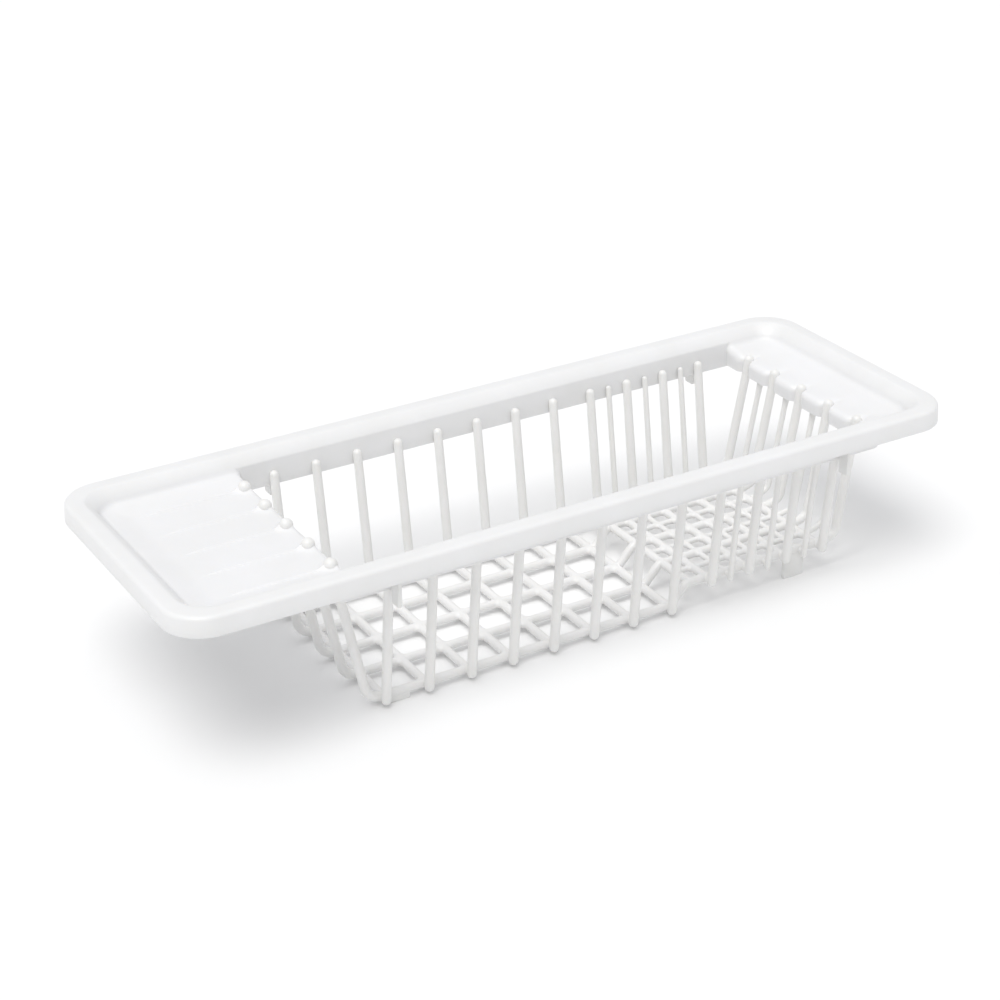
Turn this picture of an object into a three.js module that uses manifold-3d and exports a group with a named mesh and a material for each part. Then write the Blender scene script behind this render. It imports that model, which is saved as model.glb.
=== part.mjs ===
// Over-the-sink dish drying rack in white polypropylene.
// Millimetres, +X along the rack, +Y to the back, +Z up. The origin is below the middle of the rim,
// in the plane of the four foot tips.
import * as THREE from "three";
import { mergeVertices } from "three/addons/utils/BufferGeometryUtils.js";
import Module from "manifold-3d";

// Rim: a rounded rectangle in plan with an inverted U section.
const RIM_LENGTH = 498;
const RIM_WIDTH = 180;
const RIM_TOP = 103.5;
const RIM_CORNER = 24;
const RIM_EDGE_ROUND = 3;
const SKIRT_DEPTH = 12;
const RIM_BAND = 17; // width of the rim in plan, from the skirt to the inner lip
const SHEET = 2.2; // wall thickness of every sheet-like member
const GAP = 0.3; // clearance between neighbouring members

// Basket: bars stand every pitch along both sides. The right-hand zone has a raised, finer floor.
const PITCH = 27;
const FIRST_BAR_X = -121.5;
const MAIN_BARS = 12;
const LAST_LOW_BAR = 7;
const RAMP_TOP_BAR = 7.55;
const FIRST_RAISED_BAR = 8;
const RAISE = 11.6;
const BAR_RADIUS = 2.8;
const THIN_RADIUS = 1.8;
const BAR_LIFT = 2; // the lowest ball ends hang this far above the foot tips
const FLOOR_RADIUS = 2.6;
const FLOOR_Z = 5.4;
const FLOOR_PITCH = 28.2;
const SIDE_FOOT_Y = 61.2;
const SIDE_TOP_Y = 70.3;
const SIDE_TOP_Z = 88;

// Side bands: the long inner walls hang lower than the skirt.
const BAND_BOTTOM = 81;
const BAND_LEFT = -148;
const BAND_RIGHT = 202.5;
const BAND_CORNER = 3.5;

// End walls and trays.
const TRAY_TOP = 93.5;
const TRAY_CORNER = 13.7;
const NUB_PITCH = 27.3;
const END_BARS = 5;
const END_LEAN = 0.19; // sideways travel of an end bar per millimetre of height
const END_BEND_HEIGHT = 9; // height over the floor at which an end bar starts to curve inwards
const LEFT_TOP_X = -147;
const RIGHT_TOP_X = 203.6;
const RIGHT_THIN_TOP_X = 205;
const END_TOP_Z = 93; // height at which an end bar passes its top X
const LEFT_NUB_Z = 94.8;
const RIGHT_NUB_Z = 91.6;
const RIGHT_THIN_NUB_Z = 81.6;
const NOTCH_CLEARANCE = 3.3; // from the middle of a nub to the edge of the tray behind it
const SCALLOP = 3.6; // how far the tray edge bulges between two nubs
const NOTCH_HALF = 4;
const ROLL_BOTTOM = 82;
const RIB_WIDTH = 1.6;
const RIB_HEIGHT = 0.8;
const RIB_START = 39; // from the outer end of the rack to the start of a rib
const RIB_SETBACK = 1; // from the edge of the tray to the other end of a rib

// Feet and locating fins.
const FOOT_THICKNESS = 2.2;
const FOOT_Y = 57.4;
const LEFT_FOOT = { start: -118, end: -105.5, floorZ: FLOOR_Z };
const RIGHT_FOOT = { start: 150.5, end: 164.8, floorZ: FLOOR_Z + RAISE };
const FIN_THICKNESS = 2.4;
const FIN_REACH = 8;
const FIN_BOTTOM = 73;

const ROUND_SIDES = 8;
const FLOOR_SIDES = 6;
const BALL_RINGS = 2;
const BEND_STEPS = 5;
const CORNER_SEGMENTS = 6;
const OVERSHOOT = 1; // how far a cutting shape passes through what it cuts
const FAR = 1000; // reach of a cutting block beyond the whole part

const wasm = await Module();
wasm.setup();

// A closed three.js geometry as a manifold-3d solid.
function solidFrom(geometry) {
  const bare = geometry.clone();
  bare.deleteAttribute("normal");
  bare.deleteAttribute("uv");
  const merged = mergeVertices(bare);
  return new wasm.Manifold(
    new wasm.Mesh({
      numProp: 3,
      vertProperties: merged.getAttribute("position").array,
      triVerts: new Uint32Array(merged.index.array),
    }),
  );
}

// A manifold-3d solid as flat-shaded three.js geometry.
function geometryFrom(solid) {
  const mesh = solid.getMesh();
  const positions = new Float32Array(mesh.numVert * 3);
  for (let vertex = 0; vertex < mesh.numVert; vertex++) {
    const start = vertex * mesh.numProp;
    positions.set(mesh.vertProperties.subarray(start, start + 3), vertex * 3);
  }
  const indexed = new THREE.BufferGeometry()
    .setAttribute("position", new THREE.BufferAttribute(positions, 3))
    .setIndex(new THREE.BufferAttribute(mesh.triVerts, 1));
  const flat = indexed.toNonIndexed();
  flat.computeVertexNormals();
  return flat;
}

function unite(solids) {
  return solids.reduce((whole, next) => whole.add(next));
}

function block([x0, x1], [y0, y1], [z0, z1]) {
  const geometry = new THREE.BoxGeometry(x1 - x0, y1 - y0, z1 - z0);
  geometry.translate((x0 + x1) / 2, (y0 + y1) / 2, (z0 + z1) / 2);
  return solidFrom(geometry);
}

// Turns geometry that runs along +Y from the origin so that it runs from one point to another.
function aim(geometry, from, to) {
  const direction = to.clone().sub(from).normalize();
  const turn = new THREE.Quaternion().setFromUnitVectors(new THREE.Vector3(0, 1, 0), direction);
  geometry.applyQuaternion(turn);
  geometry.translate(from.x, from.y, from.z);
  return geometry;
}

// A round bar with ball ends, whose ball centres are the two points.
function ballBar(from, to, radius) {
  const length = from.distanceTo(to);
  const profile = [];
  for (let ring = 0; ring <= BALL_RINGS; ring++) {
    const angle = (Math.PI / 2) * (ring / BALL_RINGS - 1);
    profile.push(new THREE.Vector2(radius * Math.cos(angle), radius * Math.sin(angle)));
  }
  for (let ring = 0; ring <= BALL_RINGS; ring++) {
    const angle = (Math.PI / 2) * (ring / BALL_RINGS);
    profile.push(new THREE.Vector2(radius * Math.cos(angle), length + radius * Math.sin(angle)));
  }
  profile[0].x = 0;
  profile[profile.length - 1].x = 0;
  return solidFrom(aim(new THREE.LatheGeometry(profile, ROUND_SIDES), from, to));
}

// A six-sided floor bar with flat ends.
function plainBar(from, to, radius) {
  const length = from.distanceTo(to);
  const geometry = new THREE.CylinderGeometry(radius, radius, length, FLOOR_SIDES);
  geometry.translate(0, length / 2, 0);
  return solidFrom(aim(geometry, from, to));
}

// A closed rod in the XZ plane through eight-sided rings, with a flat start and a pointed end.
// A ring is { centre, along, radius }, where along is the angle from +X of the direction it faces.
function rodThroughRings(rings, tip) {
  const positions = [];
  for (const { centre, along, radius, stretch = 1 } of rings) {
    for (let side = 0; side < ROUND_SIDES; side++) {
      const angle = ((side + 0.5) * 2 * Math.PI) / ROUND_SIDES;
      const up = radius * stretch * Math.sin(angle);
      const x = centre.x - up * Math.sin(along);
      const z = centre.z + up * Math.cos(along);
      positions.push(x, radius * Math.cos(angle), z);
    }
  }
  positions.push(tip.x, 0, tip.z);
  const tipIndex = rings.length * ROUND_SIDES;
  const lastRing = tipIndex - ROUND_SIDES;
  const triangles = [];
  for (let side = 0; side < ROUND_SIDES; side++) {
    const next = (side + 1) % ROUND_SIDES;
    for (let here = 0; here < lastRing; here += ROUND_SIDES) {
      const there = here + ROUND_SIDES;
      triangles.push(here + side, here + next, there + next, here + side, there + next, there + side);
    }
    triangles.push(lastRing + side, lastRing + next, tipIndex);
    if (side > 0 && next > 0) triangles.push(0, next, side);
  }
  return new THREE.BufferGeometry()
    .setAttribute("position", new THREE.BufferAttribute(new Float32Array(positions), 3))
    .setIndex(triangles);
}

// A counter-clockwise rounded rectangle centred on the origin.
function roundedRectangle(length, width, radius) {
  const x = length / 2 - radius;
  const y = width / 2 - radius;
  const shape = new THREE.Shape();
  shape.absarc(x, y, radius, 0, Math.PI / 2);
  shape.absarc(-x, y, radius, Math.PI / 2, Math.PI);
  shape.absarc(-x, -y, radius, Math.PI, 1.5 * Math.PI);
  shape.absarc(x, -y, radius, 1.5 * Math.PI, 2 * Math.PI);
  shape.closePath();
  return shape;
}

function upright(shape, bottom, top) {
  const options = { depth: top - bottom, bevelEnabled: false, curveSegments: CORNER_SEGMENTS };
  const geometry = new THREE.ExtrudeGeometry(shape, options);
  geometry.translate(0, 0, bottom);
  return solidFrom(geometry);
}

// The rim's outer body, with its top edge rounded by stacking the extrusion's bevel inside its outline.
function rimBody() {
  const shape = roundedRectangle(
    RIM_LENGTH - 2 * RIM_EDGE_ROUND,
    RIM_WIDTH - 2 * RIM_EDGE_ROUND,
    RIM_CORNER - RIM_EDGE_ROUND,
  );
  const geometry = new THREE.ExtrudeGeometry(shape, {
    depth: SKIRT_DEPTH,
    bevelEnabled: true,
    bevelThickness: RIM_EDGE_ROUND,
    bevelSize: RIM_EDGE_ROUND,
    bevelSegments: 3,
    curveSegments: CORNER_SEGMENTS,
  });
  geometry.translate(0, 0, RIM_TOP - RIM_EDGE_ROUND - SKIRT_DEPTH);
  const roundedBothWays = solidFrom(geometry);
  const keep = block([-FAR, FAR], [-FAR, FAR], [RIM_TOP - SKIRT_DEPTH, FAR]);
  return roundedBothWays.intersect(keep);
}

const openingLength = RIM_LENGTH - 2 * RIM_BAND;
const openingWidth = RIM_WIDTH - 2 * RIM_BAND;
const openingCorner = TRAY_CORNER + GAP;
const lipOuterWidth = openingWidth + 2 * SHEET;

// The rim as one ring: outer skirt, top and inner lip, open underneath.
function rimFrame() {
  const bottom = RIM_TOP - SKIRT_DEPTH;
  const opening = upright(
    roundedRectangle(openingLength, openingWidth, openingCorner),
    bottom - OVERSHOOT,
    RIM_TOP + OVERSHOOT,
  );
  const channelOuter = upright(
    roundedRectangle(RIM_LENGTH - 2 * SHEET, RIM_WIDTH - 2 * SHEET, RIM_CORNER - SHEET),
    bottom - OVERSHOOT,
    RIM_TOP - SHEET,
  );
  const lip = upright(
    roundedRectangle(openingLength + 2 * SHEET, lipOuterWidth, openingCorner + SHEET),
    bottom - 2 * OVERSHOOT,
    RIM_TOP,
  );
  return rimBody().subtract(channelOuter.subtract(lip)).subtract(opening);
}

// The deep inner wall below the rim's lip on one long side, with rounded lower corners.
function sideBand() {
  const top = RIM_TOP - SKIRT_DEPTH - GAP;
  const outline = new THREE.Shape();
  outline.moveTo(BAND_LEFT, top);
  outline.lineTo(BAND_LEFT, BAND_BOTTOM + BAND_CORNER);
  outline.absarc(BAND_LEFT + BAND_CORNER, BAND_BOTTOM + BAND_CORNER, BAND_CORNER, Math.PI, 1.5 * Math.PI);
  outline.absarc(BAND_RIGHT - BAND_CORNER, BAND_BOTTOM + BAND_CORNER, BAND_CORNER, -Math.PI / 2, 0);
  outline.lineTo(BAND_RIGHT, top);
  outline.closePath();
  const geometry = new THREE.ExtrudeGeometry(outline, {
    depth: SHEET,
    bevelEnabled: false,
    curveSegments: 3,
  });
  geometry.rotateX(Math.PI / 2);
  return geometry;
}

const nubRows = Array.from({ length: END_BARS }, (_, row) => row - (END_BARS - 1) / 2);

// One tray in plan, for the end at the given sign of X. Its basket edge bulges between the nubs.
function trayOutline(end, topX) {
  const outerX = openingLength / 2 - GAP;
  const halfWidth = openingWidth / 2 - GAP;
  const notchX = end * (topX + end * NOTCH_CLEARANCE);
  const bulgeX = notchX - 2 * SCALLOP; // control point, twice as far out as the curve reaches
  const outline = new THREE.Shape();
  const cornerX = outerX - TRAY_CORNER;
  const cornerY = halfWidth - TRAY_CORNER;
  outline.moveTo(notchX, -halfWidth);
  outline.absarc(cornerX, -cornerY, TRAY_CORNER, -Math.PI / 2, 0);
  outline.absarc(cornerX, cornerY, TRAY_CORNER, 0, Math.PI / 2);
  outline.lineTo(notchX, halfWidth);
  for (const row of nubRows.toReversed()) {
    const y = row * NUB_PITCH;
    outline.lineTo(notchX, y + NOTCH_HALF);
    outline.lineTo(notchX, y - NOTCH_HALF);
    if (row > nubRows[0]) outline.quadraticCurveTo(bulgeX, y - NUB_PITCH / 2, notchX, y - NUB_PITCH + NOTCH_HALF);
  }
  outline.closePath();
  return { outline, notchX, halfWidth };
}

// A tray plate with the rolled-down sheet at its basket edge. It is drawn for the right-hand end.
function tray(end, topX, withRibs) {
  const { outline, notchX, halfWidth } = trayOutline(end, topX);
  const pieces = [
    upright(outline, TRAY_TOP - SHEET, TRAY_TOP),
    block([notchX, notchX + SHEET], [-halfWidth, halfWidth], [ROLL_BOTTOM, TRAY_TOP - SHEET / 2]),
  ];
  if (withRibs) {
    const ribEnd = RIM_LENGTH / 2 - RIB_START;
    for (const row of nubRows) {
      const y = row * NUB_PITCH;
      pieces.push(
        block(
          [notchX + RIB_SETBACK, ribEnd],
          [y - RIB_WIDTH / 2, y + RIB_WIDTH / 2],
          [TRAY_TOP - SHEET / 2, TRAY_TOP + RIB_HEIGHT],
        ),
      );
    }
  }
  return unite(pieces);
}

function barX(index) {
  return FIRST_BAR_X + index * PITCH;
}

// One side bar at X = 0 on the front side, leaning outwards from the floor to the side band.
// Its back is cut flat where it meets the band, and its foot where it meets the floor.
function sideBar(radius, bottom) {
  const lowestZ = BAR_LIFT + BAR_RADIUS;
  const lean = (SIDE_TOP_Y - SIDE_FOOT_Y) / (SIDE_TOP_Z - lowestZ);
  const footZ = bottom + BAR_LIFT + radius;
  const foot = new THREE.Vector3(0, -(SIDE_FOOT_Y + lean * (footZ - lowestZ)), footZ);
  const head = new THREE.Vector3(0, -SIDE_TOP_Y, SIDE_TOP_Z);
  const bandFace = -(openingWidth / 2 - GAP);
  const floorFace = -(2 * FLOOR_PITCH + FLOOR_RADIUS + GAP);
  const floorTop = bottom + FLOOR_Z + FLOOR_RADIUS + GAP;
  const beyondBand = block([-FAR, FAR], [-FAR, bandFace], [-FAR, FAR]);
  const insideFloor = block([-FAR, FAR], [floorFace, FAR], [-FAR, floorTop]);
  return ballBar(foot, head, radius).subtract(beyondBand).subtract(insideFloor);
}

// One end bar at Y = 0 for the right-hand end, from beside the last cross bar of the floor through an
// outward bend and a leaning straight up to a ball nub. Rings at the bends are mitred.
function endBar(topX, nubZ, floorZ, floorEndX, radius) {
  const bendZ = floorZ + END_BEND_HEIGHT;
  const wallPoint = (z) => new THREE.Vector3(topX - END_LEAN * (END_TOP_Z - z), 0, z);
  const floorEnd = new THREE.Vector3(floorEndX, 0, floorZ);
  const bend = new THREE.QuadraticBezierCurve3(floorEnd, wallPoint(floorZ), wallPoint(bendZ));
  const nub = wallPoint(nubZ);
  const path = [...bend.getPoints(BEND_STEPS), nub];
  const slope = (from, to) => Math.atan2(to.z - from.z, to.x - from.x);
  const rings = path.map((centre, index) => {
    const before = index > 0 ? slope(path[index - 1], centre) : 0;
    const after = index < path.length - 1 ? slope(centre, path[index + 1]) : before;
    const along = index > 0 ? (before + after) / 2 : 0;
    return { centre, along, radius, stretch: index > 0 ? 1 / Math.cos((after - before) / 2) : 1 };
  });
  const along = rings[rings.length - 1].along;
  const beyondNub = (distance) =>
    new THREE.Vector3(nub.x + distance * Math.cos(along), 0, nub.z + distance * Math.sin(along));
  for (let ring = 1; ring < BALL_RINGS; ring++) {
    const angle = (Math.PI / 2) * (ring / BALL_RINGS);
    rings.push({ centre: beyondNub(radius * Math.sin(angle)), along, radius: radius * Math.cos(angle) });
  }
  return solidFrom(rodThroughRings(rings, beyondNub(radius)));
}

// A grid of floor bars: bars along X at each y, joined by bars along Y at each x.
function floorGrid(alongX, alongY, z) {
  const bars = [];
  const outerY = Math.max(...alongX.map((bar) => bar.y)) + FLOOR_RADIUS;
  const startX = Math.min(...alongY.map((bar) => bar.x - bar.radius));
  const endX = Math.max(...alongY.map((bar) => bar.x + bar.radius));
  for (const { y, radius } of alongX) {
    bars.push(plainBar(new THREE.Vector3(startX, y, z), new THREE.Vector3(endX, y, z), radius));
  }
  for (const { x, radius } of alongY) {
    bars.push(plainBar(new THREE.Vector3(x, -outerY, z), new THREE.Vector3(x, outerY, z), radius));
  }
  return unite(bars);
}

const mainRows = nubRows.map((row) => ({ y: row * FLOOR_PITCH, radius: FLOOR_RADIUS }));
const thinRows = nubRows.slice(1).map((row) => ({ y: (row - 0.5) * FLOOR_PITCH, radius: THIN_RADIUS }));

function lowFloor() {
  const cross = [];
  for (let index = 0; index <= LAST_LOW_BAR; index++) cross.push({ x: barX(index), radius: FLOOR_RADIUS });
  return floorGrid(mainRows, cross, FLOOR_Z);
}

function raisedFloor() {
  const cross = [];
  for (let index = FIRST_RAISED_BAR; index <= MAIN_BARS - 1; index += 0.5) {
    cross.push({ x: barX(index), radius: Number.isInteger(index) ? FLOOR_RADIUS : THIN_RADIUS });
  }
  return floorGrid([...mainRows, ...thinRows], cross, FLOOR_Z + RAISE);
}

// Five sloping bars from the low floor up to one cross bar, which also carries short level stubs
// towards the raised floor.
function rampFloor() {
  const startX = barX(LAST_LOW_BAR) + FLOOR_RADIUS + GAP;
  const topX = barX(RAMP_TOP_BAR);
  const topZ = FLOOR_Z + RAISE;
  const stubEndX = barX(FIRST_RAISED_BAR) - FLOOR_RADIUS - GAP;
  const cut = block([-FAR, startX], [-FAR, FAR], [-FAR, FAR]);
  const outerY = 2 * FLOOR_PITCH;
  const at = (x, y, z) => new THREE.Vector3(x, y, z);
  const top = plainBar(at(topX, -outerY, topZ), at(topX, outerY, topZ), FLOOR_RADIUS);
  const slopes = mainRows.map(({ y }) =>
    plainBar(at(startX - FLOOR_RADIUS, y, FLOOR_Z), at(topX, y, topZ), FLOOR_RADIUS).subtract(cut),
  );
  const stubs = [...mainRows, ...thinRows].map(({ y, radius }) =>
    plainBar(at(topX, y, topZ), at(stubEndX, y, topZ), radius),
  );
  return unite([top, ...slopes, ...stubs]);
}

// A thin foot plate below an outer floor bar, between two side bars.
function foot({ start, end, floorZ }) {
  const top = floorZ - FLOOR_RADIUS - GAP;
  return new THREE.BoxGeometry(end - start, FOOT_THICKNESS, top).translate((start + end) / 2, 0, top / 2);
}

// A thin upright fin at X = 0 under the front of the rim, standing out from the inner wall.
function fin() {
  const innerY = -(lipOuterWidth / 2 + GAP);
  const top = RIM_TOP - SHEET - GAP;
  return new THREE.BoxGeometry(FIN_THICKNESS, FIN_REACH, top - FIN_BOTTOM).translate(
    0,
    innerY - FIN_REACH / 2,
    (top + FIN_BOTTOM) / 2,
  );
}

const rack = new THREE.Group();

// Adds one named member in white plastic, turned about Z and moved.
function addMember(name, geometry, { x = 0, y = 0, turn = 0, splay = 0 } = {}) {
  const material = new THREE.MeshStandardMaterial({ color: 0xf2f2f0, roughness: 0.35, metalness: 0 });
  const mesh = new THREE.Mesh(geometry, material);
  mesh.name = name;
  mesh.rotation.set(splay, 0, turn);
  mesh.position.set(x, y, 0);
  rack.add(mesh);
}

// The same front member on both long sides.
function addFrontAndBack(name, geometry, x = 0) {
  addMember(name.replace("SIDE", "front"), geometry, { x });
  addMember(name.replace("SIDE", "back"), geometry, { x, turn: Math.PI });
}

const twoDigits = (number) => String(number).padStart(2, "0");

function addSideBars() {
  const low = geometryFrom(sideBar(BAR_RADIUS, 0));
  const raised = geometryFrom(sideBar(BAR_RADIUS, RAISE));
  const thin = geometryFrom(sideBar(THIN_RADIUS, RAISE));
  for (let index = 0; index < MAIN_BARS; index++) {
    const geometry = index <= LAST_LOW_BAR ? low : raised;
    addFrontAndBack(`SIDE_bar_${twoDigits(index + 1)}`, geometry, barX(index));
  }
  for (let index = FIRST_RAISED_BAR; index < MAIN_BARS - 1; index++) {
    addFrontAndBack(`SIDE_thin_bar_${twoDigits(index + 1)}`, thin, barX(index + 0.5));
  }
}

function addEndBars() {
  const splay = Math.atan((FLOOR_PITCH - NUB_PITCH) / END_TOP_Z);
  const leftEndX = -(barX(0) - FLOOR_RADIUS - GAP);
  const rightEndX = barX(MAIN_BARS - 1) + FLOOR_RADIUS + GAP;
  const raisedZ = FLOOR_Z + RAISE;
  const left = geometryFrom(endBar(-LEFT_TOP_X, LEFT_NUB_Z, FLOOR_Z, leftEndX, BAR_RADIUS));
  const right = geometryFrom(endBar(RIGHT_TOP_X, RIGHT_NUB_Z, raisedZ, rightEndX, BAR_RADIUS));
  const thin = geometryFrom(endBar(RIGHT_THIN_TOP_X, RIGHT_THIN_NUB_Z, raisedZ, rightEndX, THIN_RADIUS));
  nubRows.forEach((row, order) => {
    const y = row * FLOOR_PITCH;
    addMember(`left_end_bar_${order + 1}`, left, { y, turn: Math.PI, splay: row * splay });
    addMember(`right_end_bar_${order + 1}`, right, { y, splay: row * splay });
  });
  thinRows.forEach(({ y }, order) => {
    addMember(`right_end_thin_bar_${order + 1}`, thin, { y, splay: (y / FLOOR_PITCH) * splay });
  });
}

function addFeetAndFins() {
  for (const [side, shape] of [["left", LEFT_FOOT], ["right", RIGHT_FOOT]]) {
    addMember(`front_${side}_foot`, foot(shape), { y: -FOOT_Y });
    addMember(`back_${side}_foot`, foot(shape), { y: FOOT_Y });
  }
  const finGeometry = fin();
  addFrontAndBack("SIDE_left_fin", finGeometry, barX(0));
  addFrontAndBack("SIDE_right_fin", finGeometry, barX(MAIN_BARS - 1));
}

function addSideBands() {
  const inner = openingWidth / 2;
  addMember("front_side_band", sideBand(), { y: -inner });
  addMember("back_side_band", sideBand(), { y: inner + SHEET });
}

addMember("rim_frame", geometryFrom(rimFrame()));
addMember("left_tray", geometryFrom(tray(-1, LEFT_TOP_X, true)), { turn: Math.PI });
addMember("right_tray", geometryFrom(tray(1, RIGHT_TOP_X, false)));
addSideBands();
addSideBars();
addEndBars();
addMember("low_floor_grid", geometryFrom(lowFloor()));
addMember("floor_ramp", geometryFrom(rampFloor()));
addMember("raised_floor_grid", geometryFrom(raisedFloor()));
addFeetAndFins();

export default rack;
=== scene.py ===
# Looks for the over-the-sink dish rack: one smooth moulded piece for each CAD node, in white plastic.
# Lengths are in millimetres until a mesh, light or camera is made. +X runs along the rack towards the
# short tray, +Y to the back and +Z up.
import math

import bmesh
import bpy
from mathutils import Matrix, Vector


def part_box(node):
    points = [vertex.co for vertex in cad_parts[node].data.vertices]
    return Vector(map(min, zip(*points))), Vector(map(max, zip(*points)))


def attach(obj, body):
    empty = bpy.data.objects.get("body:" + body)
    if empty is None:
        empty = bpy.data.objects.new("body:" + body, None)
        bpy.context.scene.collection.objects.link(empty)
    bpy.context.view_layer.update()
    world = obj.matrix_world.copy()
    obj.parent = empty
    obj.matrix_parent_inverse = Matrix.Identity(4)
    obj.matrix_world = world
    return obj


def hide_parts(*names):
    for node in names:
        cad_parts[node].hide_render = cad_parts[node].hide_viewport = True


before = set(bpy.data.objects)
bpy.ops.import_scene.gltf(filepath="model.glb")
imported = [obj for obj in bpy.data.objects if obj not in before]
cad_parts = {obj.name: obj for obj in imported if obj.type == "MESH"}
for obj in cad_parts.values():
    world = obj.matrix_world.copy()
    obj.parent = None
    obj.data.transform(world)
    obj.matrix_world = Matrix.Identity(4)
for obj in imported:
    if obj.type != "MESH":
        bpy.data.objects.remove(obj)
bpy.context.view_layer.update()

MM = 0.001
BODY = "root"
SHARP_ANGLE = 50  # an edge that turns by more, in degrees, is shaded sharp

# Bars run in lines, which are counted in pitches from the middle of the rack.
LAST_LINE = 2
MAIN_LINES = range(-LAST_LINE, LAST_LINE + 1)
THIN_LINES = [line + 0.5 for line in MAIN_LINES[:-1]]

# Rim: an inverted U in section. An inset is measured from the outside of the rack.
RIM_BAND = 17.0
SHEET = 2.2
RIM_CORNER = 24.0
OPENING_CORNER = 14.0
CORNER_STEPS = 20
FREE_EDGE = 0.5  # rounding of the lower edges of the skirt and the lip
FREE_EDGE_CUT = 0.14  # how far in and up the middle of that rounding is
SKIRT_DRAFT = 0.4  # how far in the skirt is at its top
SKIRT_MIDDLE = 4.5
OUTER_ROUND = 2.6
OUTER_STEPS = 8
CROWN_DROP = 0.2  # how far below the top the outer rounding ends
CROWN = ((5.5, 0.05), (7.5, 0.0))  # (inset, depth) along the slightly domed top
TOP_INSET = 9.3  # where the top begins to fall away to the opening
SHOULDER_ROUND = 3.5
SLOPE_ROUND = 21.2
FOOT_ROUND = 2.5
SHOULDER_ANGLE = 35  # slope where the shoulder ends, in degrees
WALL_ANGLE = 55  # steepest slope of the wall around a tray, in degrees
SLOPE_STEPS = 6  # for each of the shoulder, the slope and the foot
FOOT_DEPTH = 0.6  # from the end of the foot down to the end of the opening's upright edge
LIP_DEPTH = 0.7  # the same, down to the start of the lip
LIP_RECESS = 0.5  # how far the lip stands back behind the opening's edge
HOLLOW_ROUND = 1.5  # corners inside the U
HOLLOW_EDGE_IN = 0.3  # bevel of the free edges inside the U
HOLLOW_EDGE_UP = 0.4
LIP_DRAFT = 0.2
SKIRT_INNER_DRAFT = 0.5
CEILING_DROP = 0.3  # how much thicker the top is over the skirt

# Side walls below the rim's lip.
WALL_START_REACH = 4.0  # how much further than in the CAD model a wall runs under the long tray
WALL_END_REACH = 2.0
WALL_GAP = 0.1  # below the rim's foot
WALL_CORNER = 3.5
WALL_CORNER_STEPS = 6
WALL_EDGE = 0.5
PLATE_EDGE_STEPS = 4  # for the rounded edges of every plate

# Trays.
RECESS = 11.5  # from the top of the rim down to the middle of a tray
DISH_DEPTH = 2.6  # how much higher a tray is along its wall than in the middle
DISH_RUN = 20.0
TRAY_OVERLAP = 0.45  # how far a tray runs into the rim around it
TRAY_FILLET = 4.0
ROLL_RADIUS = 4.0
NUB_PITCH = 27.3
ROW_OFFSETS = (0.3, 0.6, 1.0, 1.5, 2.2, 3.2, 4.6, 6.5, 9.0, 11.5)  # mesh rows beside a nub's line
COLUMN_STEP = 2.0
FACE_STEPS = 4
ROLL_STEPS = 10
CORNER_COLUMNS = 6
WALL_ROWS = 12
LOBE_START = 0.5  # the flat in line with a nub, on each side of its middle
LOBE_RISE = 6.0
LOBE_SETTLE = 20.0  # the lobes fade out over this length
WALL_FADE = 1.1  # how fast the wall vanishes down the roll
RELIEF_FADE = 1.3
RIB_HALF_WIDTH = 1.0
RIB_HEIGHT = 0.8
RIB_RUN_OUT = 12.0
RIB_START = 39.0  # from the outer end of the rack
FLARE_WIDTH = 3.9
FLARE_TIP_WIDTH = 1.4
FLARE_START = 2.5  # behind the tray's edge
FLARE_LENGTH = 10.0

# Bars.
BAR_RADIUS = 2.8
THIN_RADIUS = 1.8
BAR_SIDES = 24
BAR_STEPS = 8
BAR_FOOT_SCALE = 1.03  # a side bar's foot compared with its mean radius
BAR_TAPER = 0.06  # the share of its radius that it loses up to its head
STUB_SCALE = 0.98
DOME_RINGS = 6
DOME_ANGLE = 88  # the last ring of a dome stops just short of its pole
HEAD_INSET = 1.8  # from the opening's edge in to a side bar's axis at its head
FOOT_OUTSET = 2.2  # from the floor's edge out to a side bar's axis at its foot
END_LEAN = 0.19  # how far in an end bar moves for each millimetre down
BEND_STEPS = 12
LEFT_BEND = 9.0  # height over the floor at which an end bar starts to curve in
RIGHT_BEND = 7.0
LEFT_NUB_RADIUS = 4.0
RIGHT_NUB_RADIUS = 3.2
THIN_NUB_RADIUS = 2.2
NUB_NECK = 7.0  # length over which a bar swells to its nub
RING_CROWDING = 0.6  # below 1, rings stand closer together towards the nub
OCTAGON_REACH = 0.91  # how far an eight-sided end bar of the CAD model reaches along X, in radii

# Floor.
BAR_PITCH = 27.0
LOW_CROSS_BARS = 8
RAISED_CROSS_BARS = 7
FLOOR_RADIUS = 2.6
FLOOR_THIN_RADIUS = 1.8
SECTION_STEPS = 12
WEB_STEPS = 4
LOW_WEB = 3.2  # how far the web at a crossing reaches along its bars
RAISED_WEB = 2.2
WEB_SOFTNESS = 0.7  # below 1, a web stays round until close to its ridge
GRID_MERGE = 0.01
RAMP_TOP_X = 82.35
RAMP_STEPS = 16
RAMP_BAR_SCALE = 0.97

# Feet and fins.
TAB_CORNER_STEPS = 3
FOOT_TOP_REACH = 2.0  # how far a foot runs up into the floor bar over it
FOOT_CORNER = 0.8
FOOT_EDGE = 0.3
FIN_TOP_DEPTH = 10.0  # a fin stops this far below the rim's top, inside its U
FIN_CORNER = 1.0
FIN_EDGE = 0.4


def node_box(name):
    """The lowest and highest corners of a CAD node in millimetres."""
    low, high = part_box(name)
    return low / MM, high / MM


rim_low, rim_high = node_box("rim_frame")
opening_x = rim_high.x - RIM_BAND
opening_y = rim_high.y - RIM_BAND
tray_level = rim_high.z - RECESS


# ---- Mesh making


def smooth_step(value):
    """0 up to 1 with level ends."""
    value = min(1.0, max(0.0, value))
    return value * value * (3 - 2 * value)


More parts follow.
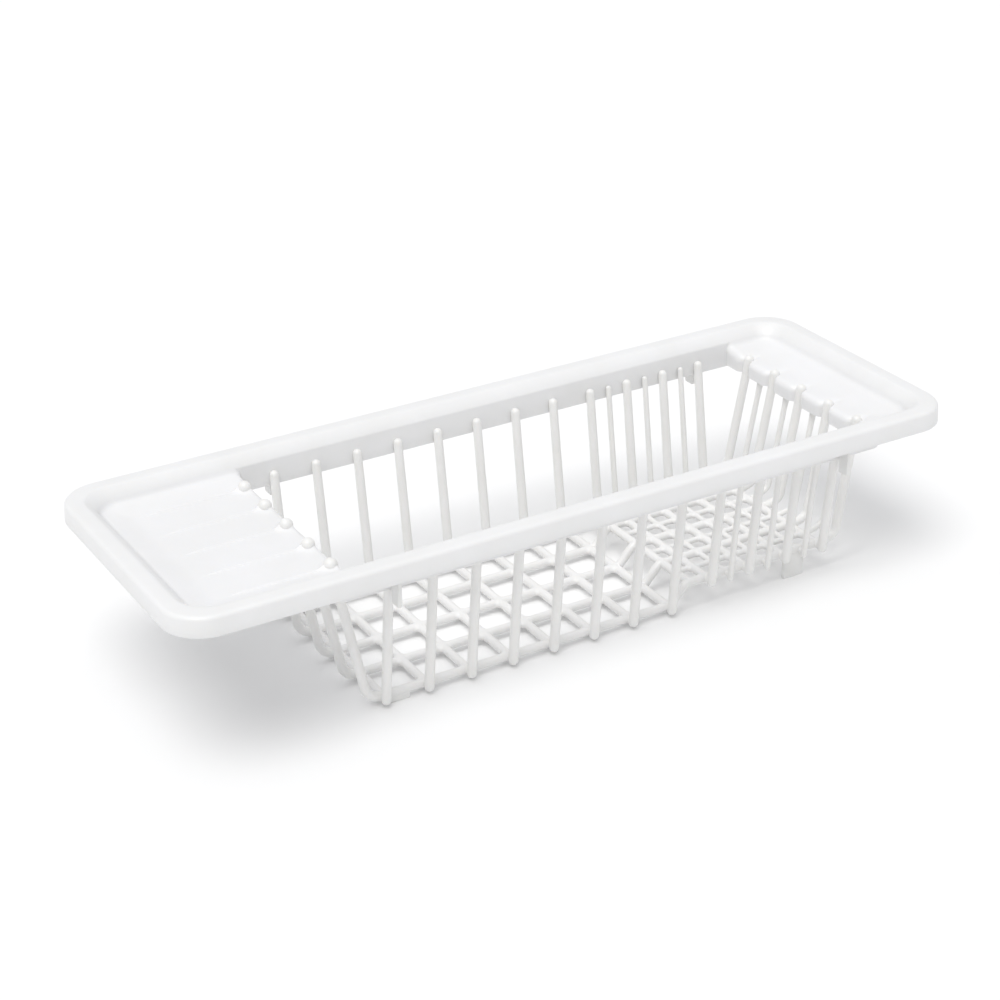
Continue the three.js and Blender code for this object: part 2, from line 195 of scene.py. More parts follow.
def arc(centre, radius, start, end, steps):
    """Points of an arc. Its angles are in degrees."""
    points = []
    for step in range(steps + 1):
        angle = math.radians(start + (end - start) * step / steps)
        points.append((centre[0] + radius * math.cos(angle), centre[1] + radius * math.sin(angle)))
    return points


def rounded_rectangle(half_x, half_y, radius):
    """Counter-clockwise points, with none along the straight sides."""
    points = []
    for quarter, (sign_x, sign_y) in enumerate([(1, 1), (-1, 1), (-1, -1), (1, -1)]):
        centre = (sign_x * (half_x - radius), sign_y * (half_y - radius))
        points += arc(centre, radius, 90 * quarter, 90 * (quarter + 1), CORNER_STEPS)
    return points


def loft(loops, ring=False):
    """Vertices and faces of a skin through closed loops of equal length.

    The ends get caps, unless it is a ring, where the last loop joins the first.
    """
    count = len(loops[0])
    verts = [point for loop in loops for point in loop]
    faces = []
    for step in range(len(loops) if ring else len(loops) - 1):
        here = step * count
        there = (step + 1) % len(loops) * count
        for k in range(count):
            after = (k + 1) % count
            faces.append((here + k, here + after, there + after, there + k))
    if not ring:
        faces.append(tuple(range(count)))
        faces.append(tuple(range(len(verts) - count, len(verts))))
    return verts, faces


def joined(*parts):
    """Several (vertices, faces) as one."""
    verts = []
    faces = []
    for part_verts, part_faces in parts:
        start = len(verts)
        verts.extend(part_verts)
        faces.extend(tuple(index + start for index in face) for face in part_faces)
    return verts, faces


def add_piece(name, shape, node, material, merge=0.0001):
    """A smooth-shaded piece that rides on the rack and stands for one CAD node."""
    verts, faces = shape
    mesh = bpy.data.meshes.new(name)
    mesh.from_pydata([Vector(point) * MM for point in verts], [], faces)
    work = bmesh.new()
    work.from_mesh(mesh)
    bmesh.ops.remove_doubles(work, verts=work.verts, dist=merge * MM)
    bmesh.ops.recalc_face_normals(work, faces=work.faces)
    work.to_mesh(mesh)
    work.free()
    mesh.shade_smooth()
    mesh.set_sharp_from_angle(angle=math.radians(SHARP_ANGLE))
    mesh.materials.append(material)
    piece = bpy.data.objects.new(name, mesh)
    bpy.context.scene.collection.objects.link(piece)
    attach(piece, BODY)
    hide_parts(node)


# ---- Rim and side walls


def rim_section():
    """The rim's closed section as (inset, height)."""
    top = rim_high.z
    bottom = rim_low.z
    lip = RIM_BAND - LIP_RECESS
    section = [(FREE_EDGE, bottom), (FREE_EDGE_CUT, bottom + FREE_EDGE_CUT), (0.0, bottom + FREE_EDGE)]
    section.append((SKIRT_DRAFT / 2, bottom + SKIRT_MIDDLE))
    round_centre = (SKIRT_DRAFT + OUTER_ROUND, top - CROWN_DROP - OUTER_ROUND)
    section += arc(round_centre, OUTER_ROUND, 180, 90, OUTER_STEPS)
    section += [(inset, top - depth) for inset, depth in CROWN]
    section += inner_slope(top)
    foot_z = section[-1][1]
    section += [(RIM_BAND, foot_z - FOOT_DEPTH), (lip, foot_z - LIP_DEPTH)]
    section += [(lip, bottom + FREE_EDGE), (lip - FREE_EDGE, bottom)]
    return section + rim_hollow(lip - SHEET, bottom, top - SHEET)


def rim_hollow(far_inset, bottom, ceiling):
    """The inside of the U, from the lip's free edge up, across and down to the skirt's."""
    near_corner = SHEET + SKIRT_DRAFT + HOLLOW_ROUND
    return [
        (far_inset + HOLLOW_EDGE_IN, bottom),
        (far_inset, bottom + HOLLOW_EDGE_UP),
        (far_inset - LIP_DRAFT, ceiling - HOLLOW_ROUND),
        (far_inset - HOLLOW_ROUND, ceiling - LIP_DRAFT),
        (near_corner, ceiling - CEILING_DROP),
        (SHEET + SKIRT_INNER_DRAFT, ceiling - CEILING_DROP - HOLLOW_ROUND),
        (SHEET, bottom + HOLLOW_EDGE_UP),
        (SHEET - HOLLOW_EDGE_IN, bottom),
    ]


def inner_slope(top):
    """The way down from the rim's top to its opening: a shoulder, a long curve and a short foot."""
    points = arc((TOP_INSET, top - SHOULDER_ROUND), SHOULDER_ROUND, 90, 90 - SHOULDER_ANGLE, SLOPE_STEPS)
    for radius, start, end in (
        (SLOPE_ROUND, SHOULDER_ANGLE, WALL_ANGLE),
        (FOOT_ROUND, WALL_ANGLE, 90),
    ):
        last_inset, last_z = points[-1]
        centre = (
            last_inset - radius * math.sin(math.radians(start)),
            last_z - radius * math.cos(math.radians(start)),
        )
        points += arc(centre, radius, 90 - start, 90 - end, SLOPE_STEPS)[1:]
    return points


def rim_shape():
    """The section carried round the rack, with corners that tighten from the skirt to the opening."""
    loops = []
    for inset, z in rim_section():
        share = inset / RIM_BAND
        radius = RIM_CORNER + (OPENING_CORNER - RIM_CORNER) * share
        outline = rounded_rectangle(rim_high.x - inset, rim_high.y - inset, radius)
        loops.append([(x, y, z) for x, y in outline])
    return loft(loops, ring=True)


def plate(outline, thickness, edge, place):
    """A flat plate with rounded edges, from a convex outline. place(u, v, depth) gives a point in space."""
    middle_u = (min(u for u, v in outline) + max(u for u, v in outline)) / 2
    middle_v = (min(v for u, v in outline) + max(v for u, v in outline)) / 2
    half_u = max(u for u, v in outline) - middle_u
    half_v = max(v for u, v in outline) - middle_v
    loops = []
    for near_side in (True, False):
        for u, v in arc((0, 0), edge, 0, 90, PLATE_EDGE_STEPS):
            inset = edge - (v if near_side else u)
            depth = edge - (u if near_side else v)
            scale_u = 1 - inset / half_u
            scale_v = 1 - inset / half_v
            level = depth if near_side else thickness - depth
            loops.append(
                [
                    place(middle_u + (u - middle_u) * scale_u, middle_v + (v - middle_v) * scale_v, level)
                    for u, v in outline
                ]
            )
    return loft(loops)


def tab_outline(start, end, bottom, top, corner, steps):
    """The outline of an upright tab with rounded lower corners."""
    outline = [(start, top), (start, bottom + corner)]
    outline += arc((start + corner, bottom + corner), corner, 180, 270, steps)
    outline += arc((end - corner, bottom + corner), corner, 270, 360, steps)
    return outline + [(end, top)]


def side_wall_shape(side, node):
    """The long inner wall, from just below the rim's foot down to its free edge."""
    low, high = node_box(node)
    start = low.x - WALL_START_REACH
    end = high.x + WALL_END_REACH
    top = inner_slope(rim_high.z)[-1][1] - WALL_GAP
    outline = tab_outline(start, end, low.z, top, WALL_CORNER, WALL_CORNER_STEPS)
    return plate(outline, SHEET, WALL_EDGE, lambda u, v, depth: (u, side * (opening_y + depth), v))


# ---- Trays


class Tray:
    """A tray as drawn for the right-hand end: a sheet that rolls down at its basket edge."""

    def __init__(self, node, ribs, edge_x, lobe, relief):
        low, high = node_box(node)
        self.bottom = low.z
        self.ribs = ribs
        self.edge_x = edge_x  # the rolled-down face in line with a nub
        self.lobe = lobe  # how far the face bulges between two nubs
        self.relief = relief  # height of the flare behind a nub, negative for a valley
        self.rib_start = rim_high.x - RIB_START
        self.outer_x = opening_x + TRAY_OVERLAP
        self.half_y = opening_y + TRAY_OVERLAP
        self.corner = OPENING_CORNER + TRAY_OVERLAP
        self.corner_x = self.outer_x - self.corner
        self.corner_y = self.half_y - self.corner
        self.settle = min(LOBE_SETTLE, self.corner_x - edge_x)
        wall_angle = math.radians(WALL_ANGLE)
        slope_end_z = inner_slope(rim_high.z)[2 * SLOPE_STEPS][1]
        wall_height = slope_end_z - tray_level - DISH_DEPTH
        self.wall_slope = math.tan(wall_angle)
        self.straight_run = (wall_height - TRAY_FILLET * (1 - math.cos(wall_angle))) / self.wall_slope
        self.fillet_run = TRAY_FILLET * math.sin(wall_angle)
        self.wall_run = self.straight_run + self.fillet_run

    def rows(self):
        """Places across the tray: close together beside the nubs' lines and up the wall."""
        half = []
        for line in range(LAST_LINE + 1):
            middle = line * NUB_PITCH
            if line > 0:
                half.append(middle - NUB_PITCH / 2)
                half += [middle - offset for offset in reversed(ROW_OFFSETS)]
            half.append(middle)
            half += [middle + offset for offset in ROW_OFFSETS]
        half += self.up_the_wall(self.half_y)
        return [-y for y in reversed(half[1:])] + half

    def profile(self):
        """The section along X at a nub's line: (x, z, normal x, normal z, how far down the roll)."""
        low_end = tray_level - ROLL_RADIUS
        points = []
        for step in range(FACE_STEPS):
            z = self.bottom + (low_end - self.bottom) * step / FACE_STEPS
            points.append((self.edge_x, z, -1.0, 0.0, 1.0))
        for step in range(ROLL_STEPS + 1):
            angle = math.radians(180 - 90 * step / ROLL_STEPS)
            x = self.edge_x + ROLL_RADIUS * (1 + math.cos(angle))
            z = low_end + ROLL_RADIUS * math.sin(angle)
            points.append((x, z, math.cos(angle), math.sin(angle), 1 - step / ROLL_STEPS))
        points += [(x, tray_level, 0.0, 1.0, 0.0) for x in self.flat_columns()]
        return points

    def flat_columns(self):
        """Places along X behind the roll: even to the corners' start, then closer up the wall."""
        flat_start = self.edge_x + ROLL_RADIUS
        steps = round((self.corner_x - flat_start) / COLUMN_STEP)
        columns = [flat_start + (self.corner_x - flat_start) * step / steps for step in range(1, steps)]
        before_wall = self.outer_x - self.wall_run - self.corner_x
        columns += [self.corner_x + before_wall * step / CORNER_COLUMNS for step in range(CORNER_COLUMNS)]
        columns += self.up_the_wall(self.outer_x)
        return columns

    def up_the_wall(self, end):
        """Evenly spaced places over the wall's run, up to where it ends."""
        return [end - self.wall_run * (1 - step / (WALL_ROWS - 1)) for step in range(WALL_ROWS)]

    def half_width(self, x):
        """Half the tray's width, which shrinks round its outer corners."""
        across = max(0.0, x - self.corner_x)
        return self.corner_y + math.sqrt(max(0.0, self.corner**2 - across**2))

    def wall(self, x, y):
        """Height of the sloping wall around the tray: straight, a concave fillet, then a shallow dish."""
        if x > self.corner_x and abs(y) > self.corner_y:
            distance = self.corner - math.hypot(x - self.corner_x, abs(y) - self.corner_y)
        else:
            distance = min(self.outer_x - x, self.half_y - abs(y))
        straight = max(0.0, self.straight_run - distance)
        run = min(self.fillet_run, max(0.0, self.wall_run - distance))
        dish = DISH_DEPTH * (1 - smooth_step(distance / DISH_RUN))
        return dish + straight * self.wall_slope + TRAY_FILLET - math.sqrt(TRAY_FILLET**2 - run**2)

    def nub_offset(self, y):
        """Distance from the nearest nub's line."""
        line = max(-LAST_LINE, min(LAST_LINE, round(y / NUB_PITCH)))
        return abs(y - line * NUB_PITCH)

    def bulge(self, y):
        """0 in line with a nub and 1 on a lobe between two."""
        return smooth_step((self.nub_offset(y) - LOBE_START) / LOBE_RISE)

    def surface_relief(self, x, y):
        """Ribs, and the flare or valley behind each nub."""
        offset = self.nub_offset(y)
        behind = x - self.edge_x
        fade = 1 - smooth_step((behind - FLARE_START) / FLARE_LENGTH)
        width = FLARE_TIP_WIDTH + (FLARE_WIDTH - FLARE_TIP_WIDTH) * fade
        height = self.relief * fade * math.exp(-((offset / width) ** 2))
        if self.ribs and offset < RIB_HALF_WIDTH:
            rise = smooth_step((self.rib_start - x) / RIB_RUN_OUT)
            height += RIB_HEIGHT * rise * math.cos(math.pi / 2 * offset / RIB_HALF_WIDTH) ** 2
        return height

    def shape(self, side):
        """The sheet for the end at a side of X = 0, with its relief raised along the surface normal."""
        profile = self.profile()
        tops = []
        undersides = []
        for row_y in self.rows():
            for x, z, normal_x, normal_z, rolled in profile:
                y = row_y * self.half_width(x) / self.half_y
                shift = -self.lobe * self.bulge(y) * (1 - smooth_step((x - self.edge_x) / self.settle))
                wall = self.wall(x, y) * (1 - smooth_step(rolled * WALL_FADE))
                relief = self.surface_relief(x, y) * (1 - smooth_step(rolled * RELIEF_FADE))
                height = wall + relief
                place = x + shift
                tops.append((side * (place + normal_x * height), y, z + normal_z * height))
                undersides.append((side * (place - normal_x * SHEET), y, z - normal_z * SHEET))
        return sheet_between(tops, undersides, len(profile))


def sheet_between(tops, undersides, columns):
    """A closed sheet between two grids of points that are stored row by row."""
    rows = len(tops) // columns
    faces = []
    for start in (0, len(tops)):
        for row in range(rows - 1):
            for column in range(columns - 1):
                corner = start + row * columns + column
                faces.append((corner, corner + 1, corner + columns + 1, corner + columns))
    border = list(range(columns))
    border += [row * columns + columns - 1 for row in range(1, rows)]
    border += [(rows - 1) * columns + column for column in range(columns - 2, -1, -1)]
    border += [row * columns for row in range(rows - 2, 0, -1)]
    for k, here in enumerate(border):
        after = border[(k + 1) % len(border)]
        faces.append((here, after, after + len(tops), here + len(tops)))
    return tops + undersides, faces


# ---- Bars


def tube(path, radii):
    """A round tube along a path that stays in one plane, with a dome at each end."""
    points = [Vector(point) for point in path]
    along = []
    for index in range(len(points)):
        before = points[max(index - 1, 0)]
        after = points[min(index + 1, len(points) - 1)]
        along.append((after - before).normalized())
    rings = dome(points[0], -along[0], radii[0])[::-1]
    rings += list(zip(points, radii))
    rings += dome(points[-1], along[-1], radii[-1])
    directions = [along[0]] * DOME_RINGS + along + [along[-1]] * DOME_RINGS
    side = along[0].orthogonal().normalized()
    loops = []
    for (centre, radius), direction in zip(rings, directions):
        side = (side - direction * side.dot(direction)).normalized()
        up = direction.cross(side)
        loop = []
        for step in range(BAR_SIDES):
            angle = 2 * math.pi * step / BAR_SIDES
            loop.append(centre + (side * math.cos(angle) + up * math.sin(angle)) * radius)
        loops.append(loop)
    return loft(loops)


def dome(centre, outward, radius):
    """Circles that shrink towards the end of a bar, as (centre, radius)."""
    circles = []
    for ring in range(1, DOME_RINGS + 1):
        angle = math.radians(DOME_ANGLE) * ring / DOME_RINGS
        circles.append((centre + outward * radius * math.sin(angle), radius * math.cos(angle)))
    return circles


low_floor_low, low_floor_high = node_box("low_floor_grid")
raised_low, raised_high = node_box("raised_floor_grid")
low_bar_low, low_bar_high = node_box("front_bar_01")
floor_z = (low_floor_low.z + low_floor_high.z) / 2
raised_z = (raised_low.z + raised_high.z) / 2
floor_side_y = low_floor_high.y - FLOOR_RADIUS
floor_pitch = floor_side_y / LAST_LINE
low_bar_radius = (low_bar_high.x - low_bar_low.x) / 2
head_z = low_bar_high.z - low_bar_radius
lowest_foot_z = low_bar_low.z + low_bar_radius


def side_axis_y(z):
    """How far out a side bar's axis is at a height."""
    foot_y = low_floor_high.y + FOOT_OUTSET
    head_y = opening_y - HEAD_INSET
    return foot_y + (head_y - foot_y) * (z - lowest_foot_z) / (head_z - lowest_foot_z)


def side_bar_shape(node, side):
    """A leaning bar with ball ends, and the stub that joins its foot to the floor."""
    low, high = node_box(node)
    radius = (high.x - low.x) / 2
    x = (low.x + high.x) / 2
    foot_z = low.z + radius
    path = []
    radii = []
    for step in range(BAR_STEPS + 1):
        z = foot_z + (head_z - foot_z) * step / BAR_STEPS
        path.append((x, side * side_axis_y(z), z))
        radii.append(radius * (BAR_FOOT_SCALE - BAR_TAPER * step / BAR_STEPS))
    floor_height = floor_z if foot_z < floor_z + FLOOR_RADIUS else raised_z
    stub = [(x, side * side_axis_y(foot_z), floor_height), (x, side * floor_side_y, floor_height)]
    stub_radius = min(radius, FLOOR_RADIUS) * STUB_SCALE
    return joined(tube(path, radii), tube(stub, [stub_radius, stub_radius]))


def end_bar_shape(node, side, line, floor_x, floor_height, bend, nub_radius):
    """A leaning bar from its nub down to the floor, where it curves in to the nearest cross bar."""
    low, high = node_box(node)
    radius = THIN_RADIUS if "thin" in node else BAR_RADIUS
    nub_x = max(abs(low.x), abs(high.x)) - radius * OCTAGON_REACH
    nub_z = high.z - nub_radius
    bend_z = floor_height + bend
    path = []
    radii = []

    def wall_point(z):
        share = (z - floor_height) / (nub_z - floor_height)
        y = line * (floor_pitch + (NUB_PITCH - floor_pitch) * share)
        return Vector((side * (nub_x - END_LEAN * (nub_z - z)), y, z))

    start = Vector((floor_x, line * floor_pitch, floor_height))
    corner = wall_point(floor_height)
    bend_end = wall_point(bend_z)
    for step in range(BEND_STEPS):
        t = step / BEND_STEPS
        path.append(start * (1 - t) ** 2 + corner * 2 * t * (1 - t) + bend_end * t**2)
        radii.append(radius)
    for step in range(BAR_STEPS + 1):
        path.append(wall_point(bend_z + (nub_z - bend_z) * (step / BAR_STEPS) ** RING_CROWDING))
        near = smooth_step(1 - (nub_z - path[-1].z) / NUB_NECK)
        radii.append(radius + (nub_radius - radius) * near)
    return tube(path, radii)


# ---- Floor


def grid_shape(lines_x, lines_y, z, web):
    """A flat grille of round bars with webbed crossings.

    lines_x holds (x, radius) of the bars along Y, and lines_y (y, radius) of the bars along X. Each opening
    gets a skin that runs from the ridge along the top of its four bars round to the ridge underneath.
    """
    parts = []
    for (x0, rx0), (x1, rx1) in zip(lines_x, lines_x[1:]):
        for (y0, ry0), (y1, ry1) in zip(lines_y, lines_y[1:]):
            corners = [
                (x0, y0, 1, 1, rx0, ry0),
                (x1, y0, -1, 1, rx1, ry0),
                (x1, y1, -1, -1, rx1, ry1),
                (x0, y1, 1, -1, rx0, ry1),
            ]
            parts.append(skin([opening_loop(corners, angle, z, web) for angle in section_angles()]))
    parts.append(skin([outside_loop(lines_x, lines_y, angle, z, web) for angle in section_angles()]))
    return joined(*parts)


def section_angles():
    """From straight down round to straight up."""
    return [math.pi * (step / SECTION_STEPS - 0.5) for step in range(SECTION_STEPS + 1)]


def skin(loops):
    """Faces between closed loops, with open ends."""
    count = len(loops[0])
    verts = [point for loop in loops for point in loop]
    faces = []
    for step in range(len(loops) - 1):
        for k in range(count):
            here = step * count + k
            after = step * count + (k + 1) % count
            faces.append((here, after, after + count, here + count))
    return verts, faces


def opening_loop(corners, angle, z, web):
    """One closed loop round an opening, at an angle round the bars' sections."""
    reach = math.cos(angle)
    rise = math.sin(angle)
    roundness = reach**WEB_SOFTNESS
    loop = []
    for number, (x, y, sign_x, sign_y, radius_x, radius_y) in enumerate(corners):
        points = []
        for step in range(-WEB_STEPS, WEB_STEPS + 1):
            share = step / WEB_STEPS
            leg_x = web * max(share, 0.0)
            leg_y = web * max(-share, 0.0)
            turn = math.pi / 4 * (1 - share)
            round_x = web * (1 - math.sin(turn))
            round_y = web * (1 - math.cos(turn))
            own_x = leg_x + (round_x - leg_x) * roundness
            own_y = leg_y + (round_y - leg_y) * roundness
            height = crossing_height(share, radius_x, radius_y)
            points.append(
                (
                    x + sign_x * (radius_x * reach + own_x),
                    y + sign_y * (radius_y * reach + own_y),
                    z + height * rise,
                )
            )
        loop += points if number % 2 == 0 else points[::-1]
    return loop


def crossing_height(share, radius_x, radius_y):
    """Height of a ridge near a crossing: the thinner bar swells up to the thicker one."""
    own = radius_y if share > 0 else radius_x
    most = max(radius_x, radius_y)
    return own + (most - own) * smooth_step(1 - abs(share))


def outside_loop(lines_x, lines_y, angle, z, web):
    """The same as opening_loop, round the outside of the whole grid."""
    reach = math.cos(angle)
    rise = math.sin(angle)
    first_x, last_x = lines_x[0], lines_x[-1]
    first_y, last_y = lines_y[0], lines_y[-1]
    loop = []

    def add(x, y, radius, height, outward):
        out = radius * reach
        loop.append((x + out * math.cos(outward), y + out * math.sin(outward), z + height * rise))

    sides = [
        (lines_x, first_y[1], lambda along: (along, first_y[0])),
        (lines_y, last_x[1], lambda along: (last_x[0], along)),
        (lines_x[::-1], last_y[1], lambda along: (along, last_y[0])),
        (lines_y[::-1], first_x[1], lambda along: (first_x[0], along)),
    ]
    for quarter, (crossings, radius, place) in enumerate(sides):
        outward = math.pi / 2 * (quarter - 1)
        direction = 1 if quarter < 2 else -1
        last = len(crossings) - 1
        for number, (along, other) in enumerate(crossings):
            for step in range(0 if number == 0 else -WEB_STEPS, 1 if number == last else WEB_STEPS + 1):
                share = step / WEB_STEPS
                height = radius + (max(radius, other) - radius) * smooth_step(1 - abs(share))
                x, y = place(along + direction * web * share)
                add(x, y, radius, height, outward)
        for step in range(1, WEB_STEPS):
            add(x, y, radius, radius, outward + math.pi / 2 * step / WEB_STEPS)
    return loop


# ---- Materials


MOTTLE_TINT = (0.965, 0.965, 0.955)  # the darker tone of the mottling, as shares of the colour


def plastic(name, colour, roughness, mottle_size, grain_depth):
    """Moulded polypropylene: slightly translucent, with faint flow mottling, sink marks and fine grain.

    The mottle size and grain depth are in metres.
    """
    material = bpy.data.materials.new(name)
    material.use_nodes = True
    nodes = material.node_tree.nodes
    links = material.node_tree.links
    shader = nodes["Principled BSDF"]
    shader.inputs["IOR"].default_value = 1.49
    shader.inputs["Subsurface Weight"].default_value = 0.12
    shader.inputs["Subsurface Radius"].default_value = (1.0, 0.92, 0.8)
    shader.inputs["Subsurface Scale"].default_value = 0.0006
    place = nodes.new("ShaderNodeTexCoord")

    mottle = nodes.new("ShaderNodeTexNoise")
    mottle.inputs["Scale"].default_value = 1 / mottle_size
    mottle.inputs["Detail"].default_value = 4.0
    mottle.inputs["Distortion"].default_value = 0.6
    links.new(place.outputs["Object"], mottle.inputs["Vector"])
    tone = nodes.new("ShaderNodeValToRGB")
    tone.color_ramp.elements[0].position = 0.3
    tone.color_ramp.elements[0].color = [value * tint for value, tint in zip(colour, MOTTLE_TINT)] + [1]
    tone.color_ramp.elements[1].position = 0.7
    tone.color_ramp.elements[1].color = (*colour, 1)
    links.new(mottle.outputs["Fac"], tone.inputs["Fac"])
    links.new(tone.outputs["Color"], shader.inputs["Base Color"])

    gloss = nodes.new("ShaderNodeMapRange")
    gloss.inputs["To Min"].default_value = roughness - 0.05
    gloss.inputs["To Max"].default_value = roughness + 0.07
    links.new(mottle.outputs["Fac"], gloss.inputs["Value"])
    links.new(gloss.outputs["Result"], shader.inputs["Roughness"])

    grain = bump_layer(nodes, links, place, scale=1200.0, depth=grain_depth, strength=0.5)
    sink = bump_layer(nodes, links, place, scale=45.0, depth=0.00025, strength=0.35)
    links.new(grain.outputs["Normal"], sink.inputs["Normal"])
    links.new(sink.outputs["Normal"], shader.inputs["Normal"])
    return material


def bump_layer(nodes, links, place, scale, depth, strength):
    """A noise and the bump node that it drives. The depth is in metres."""
    noise = nodes.new("ShaderNodeTexNoise")
    noise.inputs["Scale"].default_value = scale
    noise.inputs["Detail"].default_value = 2.0
    links.new(place.outputs["Object"], noise.inputs["Vector"])
    bump = nodes.new("ShaderNodeBump")
    bump.inputs["Strength"].default_value = strength
    bump.inputs["Distance"].default_value = depth
    links.new(noise.outputs["Fac"], bump.inputs["Height"])
    return bump


def floor_material():
    """A matt, nearly white floor."""
    material = bpy.data.materials.new("studio_floor")
    material.use_nodes = True
    nodes = material.node_tree.nodes
    links = material.node_tree.links
    shader = nodes["Principled BSDF"]
    shader.inputs["Roughness"].default_value = 0.9
    shader.inputs["Specular IOR Level"].default_value = 0.1
    place = nodes.new("ShaderNodeTexCoord")
    noise = nodes.new("ShaderNodeTexNoise")
    noise.inputs["Scale"].default_value = 3.0
    links.new(place.outputs["Object"], noise.inputs["Vector"])
    tone = nodes.new("ShaderNodeValToRGB")
    tone.color_ramp.elements[0].color = (0.94, 0.94, 0.94, 1)
    tone.color_ramp.elements[1].color = (0.95, 0.95, 0.95, 1)
    links.new(noise.outputs["Fac"], tone.inputs["Fac"])
    links.new(tone.outputs["Color"], shader.inputs["Base Color"])
    return material


# ---- The rack


def add_rim(material):
    add_piece("rim_moulding", rim_shape(), "rim_frame", material)
    for name, side in (("front", -1), ("back", 1)):
        node = f"{name}_side_band"
        add_piece(f"{name}_side_wall", side_wall_shape(side, node), node, material)


def add_trays(material):
    left = Tray("left_tray", ribs=True, edge_x=143.4, lobe=1.6, relief=4.4)
    right = Tray("right_tray", ribs=False, edge_x=203.2, lobe=4.4, relief=-1.2)
    add_piece("left_tray_sheet", left.shape(-1), "left_tray", material)
    add_piece("right_tray_sheet", right.shape(1), "right_tray", material)


def add_bars(material):
    add_side_bars(material)
    left_x = low_floor_low.x + FLOOR_RADIUS
    right_x = raised_high.x - FLOOR_RADIUS
    add_end_bars("left_end", -1, MAIN_LINES, left_x, floor_z, LEFT_BEND, LEFT_NUB_RADIUS, material)
    add_end_bars("right_end", 1, MAIN_LINES, right_x, raised_z, RIGHT_BEND, RIGHT_NUB_RADIUS, material)
    add_end_bars("right_end_thin", 1, THIN_LINES, right_x, raised_z, RIGHT_BEND, THIN_NUB_RADIUS, material)


def add_side_bars(material):
    for node in sorted(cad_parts):
        side = -1 if node.startswith("front") else 1
        if node.startswith(("front_bar", "back_bar", "front_thin_bar", "back_thin_bar")):
            add_piece(node.replace("bar", "rod"), side_bar_shape(node, side), node, material)


def add_end_bars(name, side, lines, floor_x, floor_height, bend, nub_radius, material):
    """One row of end bars, numbered from the front."""
    for number, line in enumerate(lines, start=1):
        node = f"{name}_bar_{number}"
        shape = end_bar_shape(node, side, line, floor_x, floor_height, bend, nub_radius)
        add_piece(f"{name}_rod_{number}", shape, node, material)


def add_floor_grids(material):
    first_x = low_floor_low.x + FLOOR_RADIUS
    low_x = [(first_x + BAR_PITCH * index, FLOOR_RADIUS) for index in range(LOW_CROSS_BARS)]
    main_y = [(line * floor_pitch, FLOOR_RADIUS) for line in MAIN_LINES]
    thin_y = [(line * floor_pitch, FLOOR_THIN_RADIUS) for line in THIN_LINES]
    raised_x = [(RAMP_TOP_X, FLOOR_RADIUS)]
    for index in range(RAISED_CROSS_BARS):
        x = first_x + BAR_PITCH * (LOW_CROSS_BARS + index / 2)
        raised_x.append((x, FLOOR_THIN_RADIUS if index % 2 else FLOOR_RADIUS))
    low = grid_shape(low_x, main_y, floor_z, LOW_WEB)
    raised = grid_shape(raised_x, sorted(main_y + thin_y), raised_z, RAISED_WEB)
    add_piece("low_floor_moulding", low, "low_floor_grid", material, merge=GRID_MERGE)
    add_piece("raised_floor_moulding", raised, "raised_floor_grid", material, merge=GRID_MERGE)
    add_piece("ramp_moulding", ramp_shape(low_x[-1][0], raised_x[0][0]), "floor_ramp", material)


def ramp_shape(start_x, end_x):
    """Rods that rise from the low floor in a smooth S, and the bar they meet."""
    parts = []
    for line in MAIN_LINES:
        path = []
        for step in range(RAMP_STEPS + 1):
            share = step / RAMP_STEPS
            x = start_x + (end_x - start_x) * share
            path.append((x, line * floor_pitch, floor_z + (raised_z - floor_z) * smooth_step(share)))
        parts.append(tube(path, [FLOOR_RADIUS] * len(path)))
    top = [(end_x, -floor_side_y, raised_z), (end_x, floor_side_y, raised_z)]
    parts.append(tube(top, [FLOOR_RADIUS * RAMP_BAR_SCALE] * 2))
    return joined(*parts)


def add_feet_and_fins(material):
    for end in ("left", "right"):
        for name in ("front", "back"):
            add_foot(f"{name}_{end}_foot", material)
            add_fin(f"{name}_{end}_fin", material)


def add_foot(node, material):
    """An upright plate along X, below an outer floor bar."""
    low, high = node_box(node)
    outline = tab_outline(low.x, high.x, low.z, high.z + FOOT_TOP_REACH, FOOT_CORNER, TAB_CORNER_STEPS)
    shape = plate(outline, high.y - low.y, FOOT_EDGE, lambda u, v, depth: (u, low.y + depth, v))
    add_piece(node + "_plate", shape, node, material)


def add_fin(node, material):
    """An upright plate along Y, below the rim."""
    low, high = node_box(node)
    top = min(high.z, rim_high.z - FIN_TOP_DEPTH)
    outline = tab_outline(low.y, high.y, low.z, top, FIN_CORNER, TAB_CORNER_STEPS)
    shape = plate(outline, high.x - low.x, FIN_EDGE, lambda u, v, depth: (low.x + depth, u, v))
    add_piece(node + "_plate", shape, node, material)


# ---- Studio

FLOOR_HALF = 8.0  # metres
CAMERA_AZIMUTH = -29.71  # degrees from straight in front, towards the left end
CAMERA_ELEVATION = 26.58
CAMERA_ROLL = -1.21
CAMERA_DISTANCE = 1.351  # metres
CAMERA_TARGET = (4.2, 28.6, 56.0)
CAMERA_LENS = 81.81  # lens and sensor in millimetres, as Blender takes them
CAMERA_SENSOR = 36.0


def add_floor():
    half = FLOOR_HALF
    mesh = bpy.data.meshes.new("studio_floor")
    corners = [(-half, -half, 0), (half, -half, 0), (half, half, 0), (-half, half, 0)]
    mesh.from_pydata(corners, [], [(0, 1, 2, 3)])
    mesh.materials.append(floor_material())
    floor = bpy.data.objects.new("studio_floor", mesh)
    bpy.context.scene.collection.objects.link(floor)


